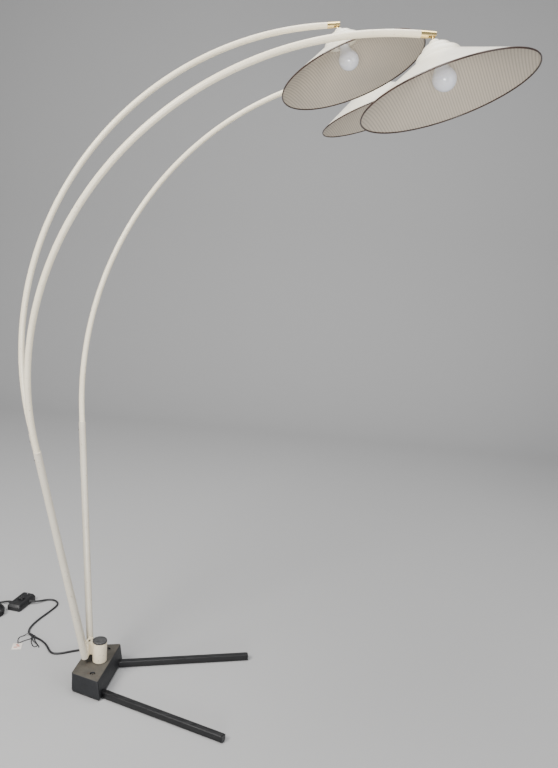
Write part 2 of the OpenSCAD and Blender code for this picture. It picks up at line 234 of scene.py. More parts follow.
def merge(bm, part, matrix):
    """Moves a part mesh into place and adds it to bm."""
    part.transform(matrix)
    mesh = bpy.data.meshes.new("part")
    part.to_mesh(mesh)
    part.free()
    bm.from_mesh(mesh)
    bpy.data.meshes.remove(mesh)


def cut_away(obj, cutter):
    """Cuts the cutter's solid out of obj, and removes the cutter."""
    mod = obj.modifiers.new("cut", "BOOLEAN")
    mod.object = cutter
    mod.operation = "DIFFERENCE"
    mod.solver = "EXACT"
    bpy.context.view_layer.objects.active = obj
    bpy.ops.object.modifier_apply(modifier="cut")
    bpy.data.objects.remove(cutter)


# ------------------------------------------------------------------ materials

def new_material(name):
    m = bpy.data.materials.new(name)
    m.use_nodes = True
    return m, m.node_tree, m.node_tree.nodes["Principled BSDF"]


def noise(tree, coords, scale, detail=4.0, rough=0.55, stretch=None):
    n = tree.nodes.new("ShaderNodeTexNoise")
    n.inputs["Scale"].default_value = scale
    n.inputs["Detail"].default_value = detail
    n.inputs["Roughness"].default_value = rough
    if stretch:
        mp = tree.nodes.new("ShaderNodeMapping")
        mp.inputs["Scale"].default_value = stretch
        tree.links.new(coords, mp.inputs["Vector"])
        coords = mp.outputs["Vector"]
    tree.links.new(coords, n.inputs["Vector"])
    return n.outputs["Fac"]


def ramp(tree, value, lo, hi, a=0.0, b=1.0):
    n = tree.nodes.new("ShaderNodeMapRange")
    n.clamp = True
    tree.links.new(value, n.inputs["Value"])
    for key, x in (("From Min", lo), ("From Max", hi), ("To Min", a), ("To Max", b)):
        n.inputs[key].default_value = x
    return n.outputs["Result"]


def mix_color(tree, fac, a, b):
    n = tree.nodes.new("ShaderNodeMix")
    n.data_type = "RGBA"
    for key, x in ((6, a), (7, b)):
        if isinstance(x, (tuple, list)):
            n.inputs[key].default_value = (*x[:3], 1)
        else:
            tree.links.new(x, n.inputs[key])
    if isinstance(fac, float):
        n.inputs[0].default_value = fac
    else:
        tree.links.new(fac, n.inputs[0])
    return n.outputs[2]


def math_node(tree, op, a, b=None):
    n = tree.nodes.new("ShaderNodeMath")
    n.operation = op
    for i, x in enumerate((a, b)):
        if x is None:
            continue
        if isinstance(x, (int, float)):
            n.inputs[i].default_value = x
        else:
            tree.links.new(x, n.inputs[i])
    return n.outputs[0]


def bump(tree, bsdf, height, distance, strength=1.0):
    n = tree.nodes.new("ShaderNodeBump")
    n.inputs["Distance"].default_value = distance
    n.inputs["Strength"].default_value = strength
    tree.links.new(height, n.inputs["Height"])
    tree.links.new(n.outputs["Normal"], bsdf.inputs["Normal"])


def object_coords(tree):
    return tree.nodes.new("ShaderNodeTexCoord").outputs["Object"]


def finish_paint(name, color, dark, rough=(0.35, 0.5), patch=18.0, fine=900.0, depth=0.00006,
                 metal=0.0, coat=0.0, amount=1.0, speck=None):
    """Paint or plastic: two tones in broad patches, a fine grain, uneven gloss."""
    m, tree, bsdf = new_material(name)
    co = object_coords(tree)
    broad = noise(tree, co, patch, 5.0, 0.6)
    grain = noise(tree, co, fine, 3.0, 0.5)
    col = mix_color(tree, ramp(tree, broad, 0.35, 0.7, 0.0, amount), color, dark)
    if speck:
        spots = noise(tree, co, speck[1], 2.0, 0.5)
        col = mix_color(tree, ramp(tree, spots, 0.66, 0.74, 0.0, 0.85), col, speck[0])
    tree.links.new(col, bsdf.inputs["Base Color"])
    tree.links.new(ramp(tree, noise(tree, co, patch * 3, 4.0), 0.3, 0.7, rough[0], rough[1]),
                   bsdf.inputs["Roughness"])
    bsdf.inputs["Metallic"].default_value = metal
    bsdf.inputs["Coat Weight"].default_value = coat
    bsdf.inputs["Coat Roughness"].default_value = 0.15
    bump(tree, bsdf, grain, depth)
    return m


def upward(tree, low=0.6, high=0.95):
    """1 on faces that look up in the object's own frame, 0 on the others."""
    sep = tree.nodes.new("ShaderNodeSeparateXYZ")
    tree.links.new(tree.nodes.new("ShaderNodeTexCoord").outputs["Normal"], sep.inputs[0])
    return ramp(tree, sep.outputs["Z"], low, high)


def cast_block_material():
    m, tree, bsdf = new_material("worn_cast_black")
    co = object_coords(tree)
    top = upward(tree)
    side = mix_color(tree, ramp(tree, noise(tree, co, 28.0, 6.0, 0.65), 0.35, 0.75),
                     (0.0045, 0.0052, 0.0068), (0.011, 0.012, 0.0145))
    # top faces much lighter than the sides: dust and painted top light
    dust_and_top_light = mix_color(tree, ramp(tree, noise(tree, co, 34.0, 6.0, 0.7), 0.35, 0.7), (0.060, 0.055, 0.046),
                     (0.088, 0.078, 0.062))
    brown = ramp(tree, noise(tree, co, 55.0, 5.0, 0.7), 0.56, 0.72, 0.0, 0.7)
    dust_and_top_light = mix_color(tree, brown, dust_and_top_light, (0.060, 0.038, 0.024))
    col = mix_color(tree, top, side, dust_and_top_light)
    chips = ramp(tree, noise(tree, co, 120.0, 4.0, 0.7), 0.68, 0.74, 0.0, 0.6)
    col = mix_color(tree, chips, col, (0.050, 0.047, 0.043))
    tree.links.new(col, bsdf.inputs["Base Color"])
    tree.links.new(ramp(tree, top, 0.0, 1.0, 0.55, 0.85), bsdf.inputs["Roughness"])
    height = math_node(tree, "ADD", noise(tree, co, 240.0, 5.0, 0.6),
                       math_node(tree, "MULTIPLY", noise(tree, co, 45.0, 4.0), 1.6))
    bump(tree, bsdf, height, 0.0004)
    return m


def leg_material():
    m, tree, bsdf = new_material("satin_black_tube")
    co = object_coords(tree)
    top = upward(tree)
    streaks = noise(tree, co, 30.0, 6.0, 0.7, (1.0, 4.0, 4.0))
    base = mix_color(tree, ramp(tree, streaks, 0.4, 0.75), (0.0028, 0.0028, 0.0034),
                     (0.0065, 0.0065, 0.0075))
    # top faces lighter along the streaks: painted top highlight with dust
    dust_and_top_light = math_node(tree, "MULTIPLY", top, ramp(tree, streaks, 0.42, 0.7, 0.1, 0.9))
    col = mix_color(tree, dust_and_top_light, base, (0.020, 0.020, 0.021))
    scratch = ramp(tree, noise(tree, co, 90.0, 3.0, 0.6, (0.15, 5.0, 5.0)), 0.68, 0.72, 0.0, 0.55)
    col = mix_color(tree, scratch, col, (0.10, 0.10, 0.10))
    tree.links.new(col, bsdf.inputs["Base Color"])
    tree.links.new(ramp(tree, streaks, 0.3, 0.7, 0.32, 0.55), bsdf.inputs["Roughness"])
    bump(tree, bsdf, noise(tree, co, 700.0, 3.0), 0.00005)
    return m


def brushed(name, color, rough=0.25, scale=(1.0, 1.0, 60.0)):
    m, tree, bsdf = new_material(name)
    co = object_coords(tree)
    lines = noise(tree, co, 60.0, 5.0, 0.7, scale)
    tarnish = ramp(tree, noise(tree, co, 70.0, 5.0, 0.65), 0.45, 0.8, 0.0, 0.6)
    dark = tuple(c * 0.55 for c in color)
    tree.links.new(mix_color(tree, tarnish, color, dark), bsdf.inputs["Base Color"])
    tree.links.new(ramp(tree, lines, 0.3, 0.7, rough * 0.7, rough * 1.6), bsdf.inputs["Roughness"])
    bsdf.inputs["Metallic"].default_value = 1.0
    bump(tree, bsdf, lines, 0.00004)
    return m


def liner_material():
    """Greige ribbed lining, darker than the shade's cream outside: painted shade inside the shade; the
    ribs' place comes from the lining's own flat pattern in its UVs.
    """
    m, tree, bsdf = new_material("ribbed_lining")
    uv = tree.nodes.new("ShaderNodeTexCoord").outputs["UV"]
    sep = tree.nodes.new("ShaderNodeSeparateXYZ")
    tree.links.new(uv, sep.inputs[0])
    phase = math_node(tree, "MULTIPLY", sep.outputs["X"], 2 * math.pi / (RIB_PITCH * MM))
    wave = math_node(tree, "SINE", phase)
    groove_shade = ramp(tree, wave, -1.0, 0.2, 1.0, 0.0)
    co = object_coords(tree)
    # the lining's greige tone, darker than the outside's cream: painted shade
    tone = mix_color(tree, ramp(tree, noise(tree, co, 6.0, 4.0), 0.3, 0.7), (0.62, 0.54, 0.43),
                     (0.55, 0.49, 0.40))
    weave = ramp(tree, noise(tree, co, 500.0, 2.0, 0.5, (1, 1, 1)), 0.35, 0.65, 0.0, 0.10)
    tone = mix_color(tree, weave, tone, (0.36, 0.32, 0.27))
    # grooves between the ribs darkened: painted shade in the grooves
    tree.links.new(mix_color(tree, math_node(tree, "MULTIPLY", groove_shade, 0.42), tone, (0.24, 0.195, 0.15)),
                   bsdf.inputs["Base Color"])
    bsdf.inputs["Roughness"].default_value = 0.72
    bump(tree, bsdf, wave, 0.0003, 0.5)
    return m


def knob_material():
    m, tree, bsdf = new_material("mottled_knob")
    co = object_coords(tree)
    spots = noise(tree, co, 210.0, 5.0, 0.7)
    broad = noise(tree, co, 60.0, 3.0)
    col = mix_color(tree, ramp(tree, spots, 0.38, 0.62), (0.014, 0.014, 0.015), (0.060, 0.060, 0.062))
    # top faces lighter in broad patches: painted top light
    col = mix_color(tree, math_node(tree, "MULTIPLY", upward(tree),
                                    ramp(tree, broad, 0.35, 0.7, 0.1, 0.55)), col, (0.080, 0.080, 0.080))
    tree.links.new(col, bsdf.inputs["Base Color"])
    tree.links.new(ramp(tree, spots, 0.3, 0.7, 0.38, 0.6), bsdf.inputs["Roughness"])
    bump(tree, bsdf, spots, 0.0002)
    return m


def opal_material():
    m, tree, bsdf = new_material("opal_glass")
    co = object_coords(tree)
    tree.links.new(mix_color(tree, ramp(tree, noise(tree, co, 22.0, 3.0), 0.3, 0.7), (0.88, 0.89, 0.94),
                             (0.83, 0.84, 0.90)),
                   bsdf.inputs["Base Color"])
    bsdf.inputs["Roughness"].default_value = 0.16
    bsdf.inputs["Subsurface Weight"].default_value = 0.25
    bsdf.inputs["Subsurface Radius"].default_value = (0.012, 0.012, 0.014)
    bsdf.inputs["Coat Weight"].default_value = 0.6
    bsdf.inputs["Coat Roughness"].default_value = 0.04
    return m


CREAM = finish_paint("cream_enamel", (0.90, 0.82, 0.64), (0.85, 0.76, 0.57), (0.30, 0.42), 9.0, 650.0,
                     0.00005, coat=0.25, amount=0.8,
                     speck=((0.60, 0.50, 0.36), 140.0))
# darker copy of the cream enamel for the lower tubes: painted shade
CREAM_SHADED = finish_paint("cream_enamel_shaded", (0.69, 0.64, 0.53), (0.64, 0.58, 0.465), (0.34, 0.48), 11.0,
                         650.0, 0.00005, coat=0.2, amount=0.9,
                         speck=((0.46, 0.38, 0.27), 150.0))
CREAM_CAST = finish_paint("cream_holder_paint", (0.80, 0.71, 0.53), (0.68, 0.59, 0.42), (0.34, 0.5), 26.0,
                          420.0, 0.00014, coat=0.2, amount=0.8,
                          speck=((0.35, 0.27, 0.18), 170.0))
SHADE = finish_paint("cream_shade_lacquer", (0.93, 0.88, 0.75), (0.90, 0.84, 0.69), (0.32, 0.44), 7.0,
                     800.0, 0.00004, coat=0.3, amount=0.8)
TRIM = finish_paint("dark_brown_trim", (0.050, 0.024, 0.015), (0.026, 0.013, 0.009), (0.28, 0.42), 30.0,
                    600.0, 0.00006, coat=0.3)
BLOCK = cast_block_material()
LEG = leg_material()
CAP = finish_paint("black_cap_plastic", (0.012, 0.012, 0.013), (0.022, 0.022, 0.023), (0.4, 0.55), 40.0,
                   700.0, 0.00006)
PLATE = finish_paint("black_plate_paint", (0.02, 0.02, 0.022), (0.035, 0.034, 0.033), (0.45, 0.6), 30.0,
                     500.0, 0.00008)
RUBBER = finish_paint("black_rubber", (0.014, 0.014, 0.015), (0.026, 0.026, 0.027), (0.55, 0.72), 60.0,
                      900.0, 0.00008)
CORD = finish_paint("black_cord_sheath", (0.010, 0.010, 0.011), (0.022, 0.022, 0.024), (0.36, 0.5), 25.0,
                    1200.0, 0.00006)
KNOB = knob_material()
DIMMER = finish_paint("black_dimmer_shell", (0.006, 0.006, 0.007), (0.011, 0.011, 0.012), (0.42, 0.56),
                      30.0, 1500.0, 0.00005, coat=0.05)
SLIDER = finish_paint("black_slider", (0.009, 0.009, 0.010), (0.015, 0.015, 0.017), (0.22, 0.32), 40.0,
                      1200.0, 0.00004, coat=0.3)
PLUG = finish_paint("black_plug_rubber", (0.018, 0.018, 0.019), (0.030, 0.030, 0.032), (0.42, 0.55), 40.0,
                    900.0, 0.00008)
TAG = finish_paint("pale_tag_card", (0.80, 0.76, 0.70), (0.72, 0.64, 0.56), (0.5, 0.65), 60.0, 800.0,
                   0.00005)
TAG_MARK = finish_paint("faded_red_mark", (0.55, 0.09, 0.05), (0.62, 0.20, 0.14), (0.5, 0.65), 260.0, 900.0,
                        0.00004)
IVORY = finish_paint("ivory_lampholder", (0.78, 0.74, 0.64), (0.72, 0.67, 0.55), (0.35, 0.5), 30.0, 700.0,
                     0.00005)
WHITE = finish_paint("white_terminal", (0.80, 0.78, 0.70), (0.72, 0.69, 0.60), (0.3, 0.45), 40.0, 600.0,
                     0.00005)
BRASS = brushed("lacquered_brass", (0.86, 0.66, 0.30), 0.24)
STEEL = brushed("bright_steel", (0.60, 0.60, 0.61), 0.32)
SCREW = brushed("dull_screw_steel", (0.16, 0.15, 0.14), 0.45, (8.0, 8.0, 8.0))
CAP_METAL = brushed("aluminium_cap", (0.75, 0.75, 0.76), 0.3)
LINER = liner_material()
OPAL = opal_material()


def paint(node, mat):
    for s in NODES[node].material_slots:
        s.material = mat


# ------------------------------------------------------------------ cords

def catmull(points, n):
    """A smooth line through the points, n steps from each to the next."""
    pts = [Vector(p) for p in points]
    out = []
    for k in range(len(pts) - 1):
        p, q, r, s = pts[max(k - 1, 0)], pts[k], pts[k + 1], pts[min(k + 2, len(pts) - 1)]
        for j in range(n):
            u = j / n
            square, cube = 2 * p - 5 * q + 4 * r - s, 3 * q - p - 3 * r + s
            out.append(0.5 * (2 * q + (r - p) * u + square * u * u + cube * u ** 3))
    out.append(pts[-1])
    return out


def relax(points, rounds):
    """Evens out small kinks between listed points, ends held."""
    pts = [p.copy() for p in points]
    for _ in range(rounds):
        inside = [q * 0.5 + (p + r) * 0.25 for p, q, r in zip(pts, pts[1:], pts[2:])]
        pts = [pts[0]] + inside + [pts[-1]]
    return pts


def cord_curve(name, points):
    data = bpy.data.curves.new(name, "CURVE")
    data.dimensions = "3D"
    data.bevel_depth = CORD_D / 2 * MM
    data.bevel_resolution = 4
    data.use_fill_caps = True
    spline = data.splines.new("POLY")
    spline.points.add(len(points) - 1)
    for p, v in zip(spline.points, points):
        p.co = (v.x * MM, v.y * MM, v.z * MM, 1)
    spline.use_smooth = True
    obj = bpy.data.objects.new(name, data)
    bpy.context.scene.collection.objects.link(obj)
    data.materials.append(CORD)
    return obj


LAMP_ROUTE = [(-45.2, 114.4, 13), (-49.5, 128.3, 11), (-58, 143, 7), (-73, 154, FLOOR_Z),
              (-93, 157, FLOOR_Z), (-113, 151, FLOOR_Z), (-132, 140, FLOOR_Z), (-152, 127, FLOOR_Z),
              (-172, 113, FLOOR_Z), (-192, 105, FLOOR_Z), (-210, 110, FLOOR_Z), (-224, 127, FLOOR_Z),
              (-241, 151, FLOOR_Z), (-266, 174, FLOOR_Z), (-297, 190, FLOOR_Z), (-322, 200, FLOOR_Z),
              (-338, 219, FLOOR_Z), (-345, 252, FLOOR_Z), (-340, 306, FLOOR_Z), (-324, 368, FLOOR_Z),
              (-314, 419, FLOOR_Z), (-318, 440, FLOOR_Z), (-331, 456, FLOOR_Z), (-350, 462.5, FLOOR_Z),
              (-363, 459, 4.2), (-374, 451.5, 5.2), (-381.5, 442, 6.8),
              (-388, 432.5, 8.8), (-394.5, 425.8, 10.4), (-401, 422.1, 11), (-406.6, 420.5, 11),
              (-409.5, 419.7, 11)]
lamp_line = relax(catmull(LAMP_ROUTE, 8), 40)
mains_cord = cord_curve("mains_lead", lamp_line)
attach(mains_cord, "base")
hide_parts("mains_cord")

COIL = Vector((-523, 315, 0))
OUTER_LANE, INNER_LANE, LAYER = 43.6, 36.4, 7.2
LANES = [(OUTER_LANE, FLOOR_Z), (INNER_LANE, FLOOR_Z), (INNER_LANE, FLOOR_Z + LAYER),
         (OUTER_LANE, FLOOR_Z + LAYER), (OUTER_LANE, FLOOR_Z + 2 * LAYER)]
LANE_CHANGE = 80


def ease(u):
    u = max(0.0, min(1.0, u))
    return u * u * (3 - 2 * u)


def coil_point(deg):
    """The coil's centreline: each turn changes lane a lane change's angle before the one below does."""
    r, z = LANES[0]
    for n in range(1, len(LANES)):
        u = ease((deg - (360 - LANE_CHANGE) * n) / LANE_CHANGE)
        r += (LANES[n][0] - LANES[n - 1][0]) * u
        z += (LANES[n][1] - LANES[n - 1][1]) * u
    a = math.radians(90 + deg)
    return Vector((COIL.x + r * math.cos(a), COIL.y + r * math.sin(a), z))


lead = catmull([(-486.7, 396.3, 11), (-492.1, 397.05, 11), (-497.6, 397.8, 11), (-510, 398.2, 8.6),
                (-524, 395, 6),
                (-538, 388, 4.4), (-550, 377, FLOOR_Z), (-558.5, 362, FLOOR_Z), (-564, 344, FLOOR_Z),
                (-566.4, 328, FLOOR_Z)], 6)
turns = [coil_point(d) for d in range(84, 1441, 6)]
out = [Vector((x, COIL.y + 43.7, z)) for x, z in ((-526, 18.4), (-536, 18.4), (-547, 18.45), (-558, 18.6),
                                                  (-567, 18.7), (-576, 18.8))]
plug_line = relax(lead + turns + out, 4)
plug_cord = cord_curve("plug_lead", plug_line)
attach(plug_cord, "base")
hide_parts("plug_cord", "cord_coil")

# ------------------------------------------------------------------ dimmer, tag, plug

DIM = move(-448, 406, 0.5) @ rot("Z", 82)
bm = bmesh.new()
lower = [(-55, -27), (55, -27), (55, 27), (-55, 27)]
top = [(-49, -22), (49, -22), (49, 22), (-49, 22)]
levels = [(0.0, 0.985, lower), (1.2, 1.0, lower), (13.4, 1.0, lower), (14.0, 0.985, lower),
          (14.6, 1.0, lower), (24.6, 1.0, top)]
rings = [[bm.verts.new((x * f, y * f, z)) for x, y in shape] for z, f, shape in levels]
for lo, hi in zip(rings, rings[1:]):
    for j in range(4):
        bm.faces.new((lo[j], lo[(j + 1) % 4], hi[(j + 1) % 4], hi[j]))
bm.faces.new(rings[0][::-1])
bm.faces.new(rings[-1])
corner = [e for e in bm.edges if abs(e.verts[0].co.z - e.verts[1].co.z) > 0.3]
bmesh.ops.bevel(bm, geom=corner, offset=5.0, segments=4, affect="EDGES", profile=0.5)
LID_Z = 24.5
lids = {f for f in bm.faces if all(v.co.z > LID_Z for v in f.verts)}
rim = [e for e in bm.edges if sum(f in lids for f in e.link_faces) == 1]
bmesh.ops.bevel(bm, geom=rim, offset=1.8, segments=3, affect="EDGES", profile=0.5)
dimmer = finish_mesh("dimmer_shell", bm, None, None, None, (), [DIMMER])
cutter_bm = bmesh.new()
add_box(cutter_bm, (-25, -5.6, 15.5), (25, 5.6, 40), 1.2, 2)
add_box(cutter_bm, (-34, -14, 24.0), (34, 14, 40), 1.0, 2)
cut_away(dimmer, finish_mesh("slot_cutter", cutter_bm))
dimmer.data.transform(Matrix.Scale(1 / MM, 4))
bm = bmesh.new()
bm.from_mesh(dimmer.data)
bpy.data.objects.remove(dimmer)
for x, y, turn in ((15, -27, -67), (-15, 27, 90)):
    nub = bmesh.new()
    profile = [(0, -6), (6.2, -6), (6.2, 2), (5.6, 3)]
    for j in range(4):
        z = 4.2 + 3.9 * j
        profile += [(5.4 - 0.25 * j, z), (5.4 - 0.25 * j, z + 2.0), (4.5 - 0.15 * j, z + 2.4),
                    (4.5 - 0.15 * j, z + 3.3)]
    profile += [(4.1, 20.4), (3.6, 21.0)]
    lathe(nub, profile, 24)
    merge(bm, nub, move(x, y, 10.5) @ rot("Z", turn) @ rot("Y", 90))
dimmer = finish_mesh("dimmer_shell", bm, DIM, 32, "base", ("dimmer_case",), [DIMMER])

bm = bmesh.new()
add_box(bm, (-7, -4.6, 16.2), (7, 4.6, 24.6), 0.4, 1)
add_box(bm, (-10, -9, 24.6), (10, 9, 28.6), 1.4, 3)
for j in range(-3, 4):
    add_box(bm, (j * 2.4 - 0.5, -7.5, 28.3), (j * 2.4 + 0.5, 7.5, 29.0), 0.25, 1)
slider = finish_mesh("dimmer_thumb", bm, DIM, 32, "slider", ("dimmer_slider",), [SLIDER])

bm = bmesh.new()
lathe(bm, [(0, 0), (2.2, 0), (2.2, 0.5), (1.9, 0.8), (0, 0.9)], 24)
bm.transform(move(40, 0, 24.4))
led = finish_mesh("dimmer_dot", bm, DIM, 32, "base", (), [STEEL])

# the tag: card, faded mark and eyelet
bm = bmesh.new()
add_box(bm, (-16, -20, 0.5), (16, 20, 1.5), 0.4, 2, None, 0)
for j, (x0, x1, y0) in enumerate(((-9, 4, 8), (-2, 9, 1), (-10, 2, -7))):
    add_box(bm, (x0, y0 - 2.2, 1.4), (x1, y0 + 2.2, 1.65), 0.1, 1, rot("Z", -24 + 9 * j), 1)
eyelet = bmesh.new()
lathe(eyelet, [(1.6, 1.45), (3.2, 1.45), (3.2, 1.75), (1.6, 1.75)], 24, True)
merge(bm, eyelet, move(0, 15.5, 0))
tag = finish_mesh("cord_tag", bm, move(-336, 126, 0) @ rot("Z", 15), 30, "base", ("cord_tie",),
                  [TAG, TAG_MARK])


def thin_loop(name, points, radius=1.5):
    """One of the tie's thin loose ends."""
    b = bmesh.new()
    line = relax(catmull(points, 6), 3)
    sweep(b, line, [radius] * len(line), 10)
    return finish_mesh(name, b, None, 40, "base", (), [CORD])


loops = [
    thin_loop("tie_loop_a", [(-340, 142, 2.0), (-345, 152, 1.6), (-352, 168, 1.6), (-352, 184, 1.6),
                             (-342, 194, 2.4),
                             (-330, 203, 9.0), (-318, 203, 7.4), (-311, 196, 8.8), (-309, 187, 5.0),
                             (-314, 178, 1.8), (-324, 168, 1.6),
                             (-333, 156, 1.6), (-339, 143, 2.0)]),
    thin_loop("tie_loop_b", [(-304, 201, 3.0), (-302, 193, 9.2), (-300, 184, 5.0), (-292, 172, 1.6),
                             (-280, 158, 1.6), (-272, 145, 1.6),
                             (-275, 136, 1.6), (-284, 138, 1.6), (-294, 150, 1.6), (-303, 165, 1.6),
                             (-309, 180, 2.6)]),
    thin_loop("tie_loop_c", [(-313, 205, 3.0), (-311, 196, 9.6), (-308, 187, 5.4), (-303, 176, 3.2),
                             (-292, 163, 3.4), (-278, 152, 3.4),
                             (-266, 143, 1.6), (-262, 134, 1.6)]),
]
bm = bmesh.new()
# three rounds of thin cord hold the tie on the flex
tie_at = Vector((-309.5, 194.8, FLOOR_Z))
for off in (-3.2, 0.0, 3.2):
    ring = []
    for j in range(29):
        t = 2 * math.pi * j / 28
        across = 4.3 * math.cos(t)
        ring.append(tie_at + Vector((off * 0.95 + 0.34 * across, -off * 0.34 + 0.94 * across,
                                     0.6 + 3.6 * math.sin(t))))
    sweep(bm, ring, [0.9] * len(ring), 8, False)
wrap = finish_mesh("tie_wrap", bm, None, 40, "base", (), [CORD])

bm = bmesh.new()
for off in (-2.4, 0.0, 2.4):
    ring = []
    for j in range(33):
        a = 2 * math.pi * j / 32
        c, s = math.cos(a), math.sin(a)
        c, s = math.copysign(abs(c) ** 0.6, c), math.copysign(abs(s) ** 0.6, s)
        ring.append(Vector((COIL.x + 40 + 7.7 * c, COIL.y + off, 11.8 + 10.9 * s)))
    sweep(bm, ring, [0.8] * len(ring), 8, False)
coil_tie = finish_mesh("coil_tie", bm, None, 40, "base", (), [CORD])

PLUG_AT = move(-575, COIL.y + 43.7, 18.8) @ rot("Z", 180) @ rot("Y", 90)
bm = bmesh.new()
profile = [(3.5, -22)]
for j in range(5):
    z = -21.5 + 4.2 * j
    profile += [(4.3 + 0.35 * j, z), (4.3 + 0.35 * j, z + 2.4), (3.8 + 0.3 * j, z + 2.7),
                (3.8 + 0.3 * j, z + 3.9)]
profile += [(8.0, 0.0), (10.5, 5), (13.8, 12), (17.0, 20), (18.1, 25), (18.4, 30), (18.4, 39.5),
            (17.6, 41.6), (15.5, 42), (0, 42)]
lathe(bm, profile, 48)
for j in range(8):
    a = 2 * math.pi * (j + 0.5) / 8
    add_box(bm, (-1.0, -0.5, 27), (0.8, 0.5, 38), 0.3, 1, rot("Z", math.degrees(a)) @ move(17.9, 0, 0))
for side in (-1, 1):
    pin = bmesh.new()
    lathe(pin, [(0, 41), (2.4, 41), (2.4, 58.6), (1.4, 60.6), (0, 61)], 24, False, 1)
    merge(bm, pin, move(0, side * 9.5, 0))
plug = finish_mesh("plug_body", bm, PLUG_AT, 35, "base", ("mains_plug",), [PLUG, CAP_METAL])

# ------------------------------------------------------------------ base

END = (BLOCK_FRONT - BLOCK_REAR) / 2 / (FORE + AFT)


def outline(fore):
    return [(-AFT, -BLOCK_REAR / 2), (FORE + fore, -BLOCK_FRONT / 2 - fore * END),
            (FORE + fore, BLOCK_FRONT / 2 + fore * END), (-AFT, BLOCK_REAR / 2)]


bm = bmesh.new()
lo = [bm.verts.new((x, y, PAD_H)) for x, y in outline(DRAFT)]
hi = [bm.verts.new((x, y, BASE_TOP)) for x, y in outline(0)]
for j in range(4):
    bm.faces.new((lo[j], lo[(j + 1) % 4], hi[(j + 1) % 4], hi[j]))
bm.faces.new(lo[::-1])
bm.faces.new(hi)


def bevel_where(test, offset, segments):
    edges = [e for e in bm.edges if test((e.verts[0].co + e.verts[1].co) / 2,
                                         (e.verts[1].co - e.verts[0].co).normalized())]
    bmesh.ops.bevel(bm, geom=edges, offset=offset, segments=segments, affect="EDGES", profile=0.5)


bevel_where(lambda c, d: abs(d.z) > 0.9, 7.0, 5)
bevel_where(lambda c, d: c.z < PAD_H + 0.5 and abs(d.z) < 0.5, 6.0, 4)
bevel_where(lambda c, d: c.z > BASE_TOP - 0.5 and abs(d.z) < 0.5, 2.6, 3)
bmesh.ops.recalc_face_normals(bm, faces=bm.faces)
block = finish_mesh("cast_block_shell", bm, None, None, None, (), [BLOCK])
cut = bmesh.new()
for side in (-1, 1):
    c = bmesh.new()
    recess = [(0, BASE_TOP - 8), (7.6, BASE_TOP - 8), (8.0, BASE_TOP - 1.2), (9.2, BASE_TOP + 1),
              (0, BASE_TOP + 1)]
    lathe(c, round_profile(recess, [0, 1.5, 0, 0, 0]), 40)
    merge(cut, c, move(3, side * 73, 0))
# a shallow arch under each end
for side in (-1, 1):
    c = bmesh.new()
    bmesh.ops.create_cone(c, cap_ends=True, segments=64, radius1=70, radius2=70, depth=60)
    merge(cut, c, move(-10, side * 112, -64) @ rot("X", 90))
cut_away(block, finish_mesh("block_cutter", cut))
smooth_by_angle(block.data, 32)
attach(block, "base")
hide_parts("base_block")

for side, node in ((1, "leg_left"), (-1, "leg_right")):
    place = move(0, side * LEG_ROOT, 2 + LEG_W / 2) @ rot("Z", side * LEG_ANGLE)
    bm = bmesh.new()
    add_box(bm, (-12, -LEG_W / 2, -LEG_W / 2), (LEG_LENGTH - 12.2, LEG_W / 2, LEG_W / 2), 2.0, 4)
    finish_mesh(node + "_tube", bm, place, 35, "base", (node,), [LEG])
bm = bmesh.new()
for side in (1, -1):
    place = move(0, side * LEG_ROOT, 2 + LEG_W / 2) @ rot("Z", side * LEG_ANGLE)
    add_box(bm, (LEG_LENGTH - 12.1, -LEG_W / 2, -LEG_W / 2), (LEG_LENGTH - 8.6, LEG_W / 2, LEG_W / 2), 1.5,
            3, place)
    foot = bmesh.new()
    lathe(foot, [(0, -12), (6.4, -12), (7.0, -11.4), (7.0, -9.8), (0, -9.8)], 32)
    merge(bm, foot, place @ move(LEG_LENGTH - 32, 0, 0))
finish_mesh("leg_end_caps", bm, None, 35, "base", ("leg_caps",), [CAP])

for node, mat in (("bottom_plate", PLATE), ("base_pads", RUBBER), ("centre_post", STEEL),
                  ("leg_screws", SCREW),
                  ("terminal_block", WHITE), ("cord_grommet", RUBBER), ("holder_washer", STEEL)):
    paint(node, mat)

# ------------------------------------------------------------------ holder and knob

bm = bmesh.new()
z0, z1 = HOLDER_Z, SLEEVE_TOP
lathe(bm, round_profile([(8.1, z0), (SLEEVE_R - 2, z0), (SLEEVE_R, z0 + 2.2), (SLEEVE_R, z1), (8.1, z1)],
                        [0, 2, 2, 1.2, 0]), 72, True)
add_box(bm, (-40, -8, z1 - 44), (-14, 8, z1 - 0.3), 2.0, 3)
add_box(bm, (-46, -26, z1 - 44), (-29, 26, z1 - 0.3), 3.0, 4)
finish_mesh("holder_casting", bm, None, 38, "holder", ("arm_holder",), [CREAM_CAST])

bm = bmesh.new()
z0 = SLEEVE_TOP + 1.2
lathe(bm, round_profile([(0, z0), (SLEEVE_R - 1, z0), (SLEEVE_R + 0.3, z0 + 1.0),
                         (SLEEVE_R + 0.3, z0 + KNOB_H - 1.8),
                         (SLEEVE_R - 1.0, z0 + KNOB_H - 0.2), (SLEEVE_R - 3.0, z0 + KNOB_H - 0.2),
                         (SLEEVE_R - 3.6, z0 + KNOB_H - 0.8),
                         (10, z0 + KNOB_H - 0.5), (0, z0 + KNOB_H - 0.4)],
                        [0, 0.5, 0.8, 1.2, 0.8, 0.4, 0.4, 2, 0]), 96)
finish_mesh("knob_disc", bm, None, 30, "knob", ("clamp_knob",), [KNOB])

# ------------------------------------------------------------------ arms and shades

CROWN = [(5, 0), (9, 1.5), (12, 4.5), (14, 10), (24, 12.5), (33, 18), (37, 24), (38, 27), (47, 31),
         (54, 37.5), (57, 45), (CROWN_R, CROWN_DROP)]
SLOPE = (SHADE_H - CROWN_DROP) / (RIM_R - CROWN_R)
SKIRT_TOP = -APEX - CROWN_DROP
LINER_R, LINER_ROWS, LINER_SEG = (50.0, RIM_R - 1.9), 110, 640
LINER_GAP = 1.5


